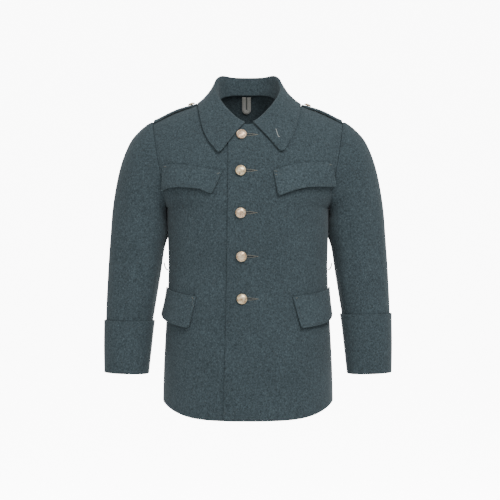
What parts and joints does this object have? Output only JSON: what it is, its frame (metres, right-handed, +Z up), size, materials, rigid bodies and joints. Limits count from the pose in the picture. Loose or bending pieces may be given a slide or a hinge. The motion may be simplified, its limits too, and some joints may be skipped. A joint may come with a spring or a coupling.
{
  "type": "wool military jacket",
  "caption": "Hip-length wool jacket in worn form: buttoned front, turned-down collar, chest and hip pocket flaps, shoulder straps and deep turned-back cuffs.",
  "frame": {"origin": "where the wearer carries it: the middle of the neck opening, level with the inner ends of the shoulder seams", "axes": "+Z up, -Y out of the jacket's front, +X towards the wearer's left side"},
  "size_m": [0.6137, 0.2591, 0.7326],
  "materials": {
    "wool": "matte napped wool",
    "brass": "worn satin",
    "steel": "dark satin",
    "tape": "matte striped tape"
  },
  "bodies": {
    "root": {"front_left": "wool", "front_right": "wool", "back": "wool", "sleeve_top_left": "wool", "sleeve_top_right": "wool", "sleeve_under_left": "wool", "sleeve_under_right": "wool", "collar": "wool", "cuff_left": "wool", "cuff_right": "wool", "chest_flap_left": "wool", "chest_flap_right": "wool", "hip_flap_left": "wool", "hip_flap_right": "wool", "shoulder_strap_left": "wool", "shoulder_strap_right": "wool", "button_1": "brass", "button_2": "brass", "button_3": "brass", "button_4": "brass", "button_5": "brass", "strap_button_left": "brass", "strap_button_right": "brass", "belt_hook_left": "steel", "belt_hook_right": "steel", "hanger_loop": "tape"}
  },
  "joints": []
}
